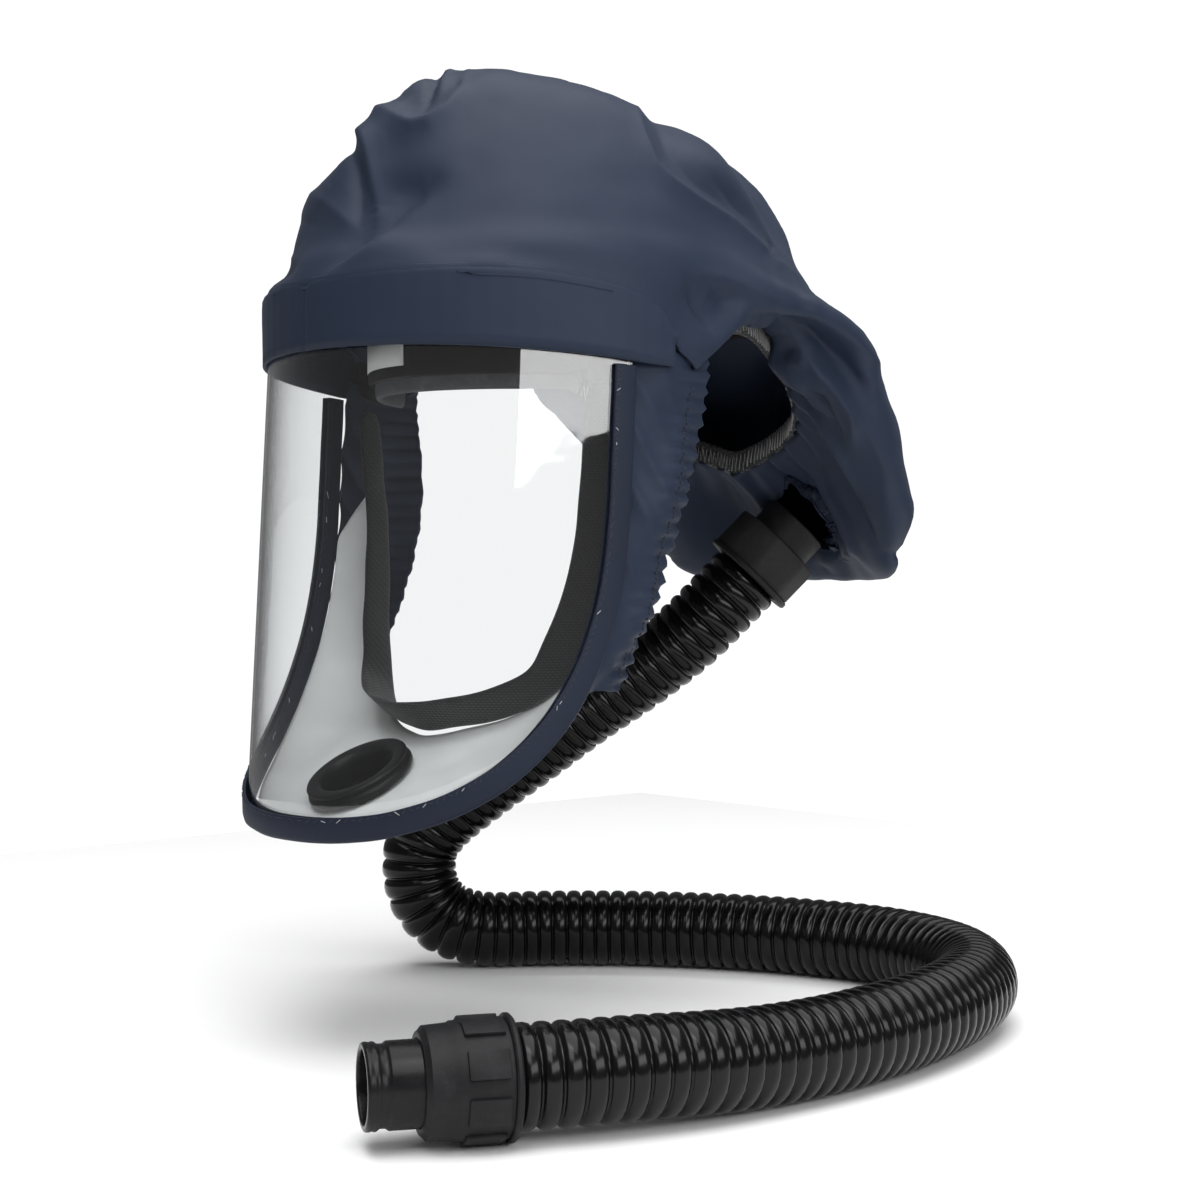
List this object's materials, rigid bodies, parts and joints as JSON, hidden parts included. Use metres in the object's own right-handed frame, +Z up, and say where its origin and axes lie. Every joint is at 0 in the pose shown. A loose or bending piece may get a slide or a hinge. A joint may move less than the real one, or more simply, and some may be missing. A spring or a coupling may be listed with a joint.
{
  "type": "respirator hood",
  "caption": "Loose navy cloth respirator hood with a clear curved visor, chin lining with outlet valve, head harness and a corrugated breathing hose ending in a smooth spigot.",
  "frame": {"origin": "centre of the headband's plan, 16 mm above its lowest edge, where a head carries the hood", "axes": "+Z up, the face looks along -Y, and +X is the wearer's left"},
  "size_m": [0.3382, 0.3853, 0.4125],
  "materials": {
    "hood_cloth": "navy coated cloth with a soft sheen",
    "visor_clear": "clear glossy sheet",
    "lining": "pale grey-white coated cloth",
    "seal_knit": "black matt knit and elastic",
    "valve_rubber": "black satin rubber",
    "harness_plastic": "dark brown-black plastic",
    "connector_plastic": "black moulded plastic with a fine grain",
    "hose_plastic": "glossy black corrugated plastic"
  },
  "bodies": {
    "root": {"hood_shell": "hood_cloth", "brow_band": "hood_cloth", "visor": "visor_clear", "visor_binding": "hood_cloth", "side_panel_left": "hood_cloth", "side_panel_right": "hood_cloth", "chin_lining": "lining", "face_seal": "seal_knit", "valve_ring": "valve_rubber", "valve_cover": "valve_rubber", "headband": "harness_plastic", "brow_pad": "seal_knit", "temple_tab_left": "harness_plastic", "temple_tab_right": "harness_plastic", "crown_strap": "harness_plastic", "rear_elastic": "seal_knit", "inlet_connector": "connector_plastic", "breathing_hose": "hose_plastic", "end_collar": "connector_plastic", "end_spigot": "connector_plastic"}
  },
  "joints": []
}
